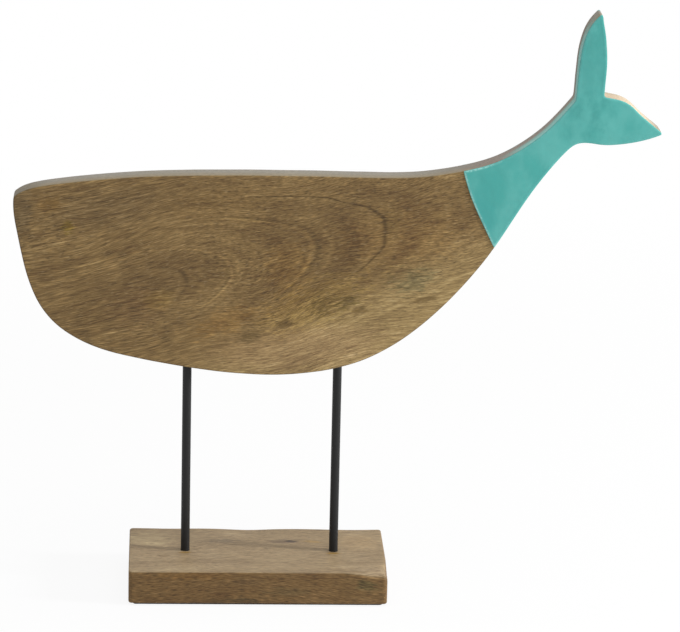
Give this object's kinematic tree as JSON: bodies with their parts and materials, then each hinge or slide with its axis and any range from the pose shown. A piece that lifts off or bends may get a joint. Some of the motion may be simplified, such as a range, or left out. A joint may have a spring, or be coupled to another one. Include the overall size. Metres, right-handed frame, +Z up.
{
  "type": "whale figurine on a stand",
  "caption": "Flat wooden whale with an enamelled tail, held above a solid wooden block by round iron rods.",
  "frame": {"origin": "middle of the felt's underside, on which the figurine stands", "axes": "+X from the nose to the tail, +Y from the front face to the back face, +Z up"},
  "size_m": [0.4282, 0.09, 0.3999],
  "materials": {
    "whale_wood": "matt sealed mango wood",
    "enamel": "glossy poured enamel",
    "black_iron": "satin black",
    "base_wood": "matt sealed mango wood",
    "zinc_steel": "zinc plated",
    "felt": "black felt"
  },
  "bodies": {
    "root": {"whale_body": "whale_wood", "tail_enamel_front": "enamel", "tail_enamel_back": "enamel", "head_rod": "black_iron", "tail_rod": "black_iron", "base_block": "base_wood", "head_screw": "zinc_steel", "tail_screw": "zinc_steel", "head_washer": "zinc_steel", "tail_washer": "zinc_steel", "felt_sheet": "felt"}
  },
  "joints": []
}
